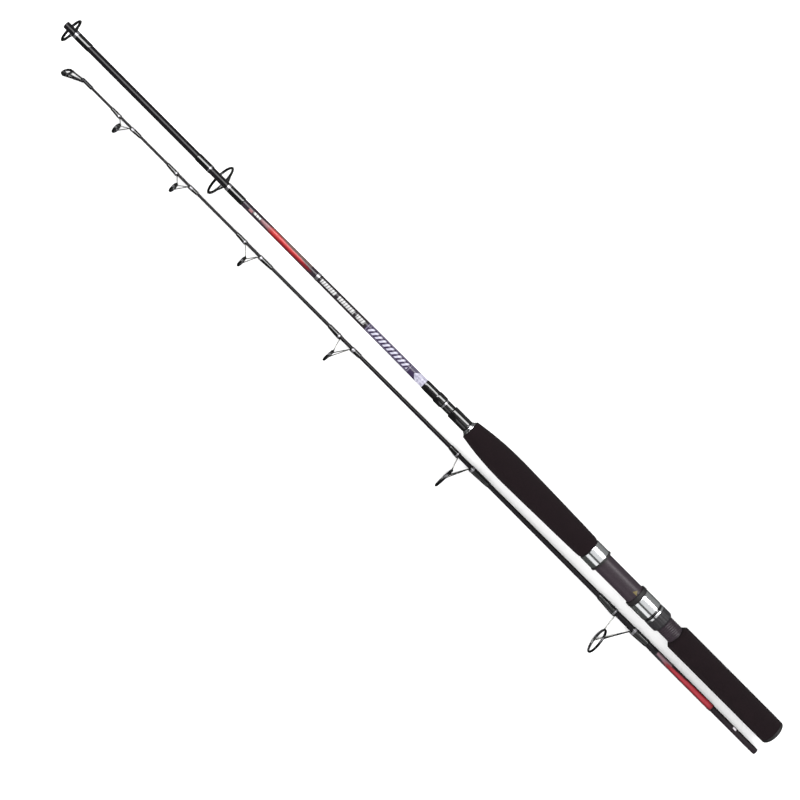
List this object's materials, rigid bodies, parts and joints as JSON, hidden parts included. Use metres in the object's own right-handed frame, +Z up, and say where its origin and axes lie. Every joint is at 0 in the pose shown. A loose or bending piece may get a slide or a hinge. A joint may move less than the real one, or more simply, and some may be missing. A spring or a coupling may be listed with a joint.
{
  "type": "two-piece fishing rod",
  "caption": "Two-piece spinning rod taken apart, with foam grips, screw-locking reel seat, wrapped ring guides and plug-in ferrule.",
  "frame": {"origin": "on the surface the rod lies on, under the middle of its bounding box", "axes": "+X from the butt end towards the tips, +Y towards the tip section's side, +Z up"},
  "size_m": [1.0986, 0.1016, 0.0808],
  "materials": {
    "blank": "gloss",
    "foam": "matte",
    "rubber": "matte",
    "seat": "satin",
    "chrome": "polished",
    "trim": "gloss",
    "nut": "satin",
    "silver": "satin",
    "arbor": "matte",
    "wrap": "gloss",
    "frame": "satin",
    "ceramic": "gloss"
  },
  "bodies": {
    "butt_section": {"butt_blank": "blank", "butt_cap": "rubber", "rear_grip": "foam", "reel_seat": "seat", "rear_arbor": "arbor", "front_arbor": "arbor", "fixed_hood_rim": "trim", "fixed_hood": "chrome", "foregrip": "foam", "winding_check": "silver", "fore_collar": "trim", "handle_wrap": "wrap", "trim_sleeve": "trim", "butt_guide_1_frame": "frame", "butt_guide_1_ring": "ceramic", "butt_guide_1_front_wrap": "wrap", "butt_guide_1_rear_wrap": "wrap", "butt_guide_2_frame": "frame", "butt_guide_2_ring": "ceramic", "butt_guide_2_rear_wrap": "wrap"},
    "tip_section": {"tip_blank": "blank", "tip_guide_1_frame": "frame", "tip_guide_1_ring": "ceramic", "tip_guide_1_front_wrap": "wrap", "tip_guide_1_rear_wrap": "wrap", "tip_guide_2_frame": "frame", "tip_guide_2_ring": "ceramic", "tip_guide_2_front_wrap": "wrap", "tip_guide_2_rear_wrap": "wrap", "tip_guide_3_frame": "frame", "tip_guide_3_ring": "ceramic", "tip_guide_3_front_wrap": "wrap", "tip_guide_3_rear_wrap": "wrap", "tip_guide_4_frame": "frame", "tip_guide_4_ring": "ceramic", "tip_guide_4_front_wrap": "wrap", "tip_guide_4_rear_wrap": "wrap", "tip_guide_5_frame": "frame", "tip_guide_5_ring": "ceramic", "tip_guide_5_front_wrap": "wrap", "tip_guide_5_rear_wrap": "wrap", "tip_guide_6_frame": "frame", "tip_guide_6_ring": "ceramic", "tip_guide_6_front_wrap": "wrap", "tip_guide_6_rear_wrap": "wrap", "tip_top_frame": "frame", "tip_top_ring": "ceramic"},
    "sliding_hood": {"sliding_hood": "chrome", "sliding_hood_rim": "trim", "sliding_hood_end": "trim"},
    "lock_nut": {"lock_nut": "nut", "lock_nut_band": "silver"}
  },
  "joints": [
    {"name": "tip_slide", "type": "slide", "parent": "butt_section", "child": "tip_section", "axis": [1, 0, 0], "range_m": [0, 1.1]},
    {"name": "hood_slide", "type": "slide", "parent": "butt_section", "child": "sliding_hood", "axis": [0.9984, 0, 0.0567], "range_m": [-0.0185, 0.0125]},
    {"name": "nut_turn", "type": "hinge", "parent": "sliding_hood", "child": "lock_nut", "pos_m": [-0.36411, -0.03083, 0.02528], "axis": [0.9984, 0, 0.0567], "range_deg": [-2590, 1725]}
  ],
  "couplings": [
    {"joint": "hood_slide", "follows": "nut_turn", "m_per_rad": 0.00039789}
  ]
}
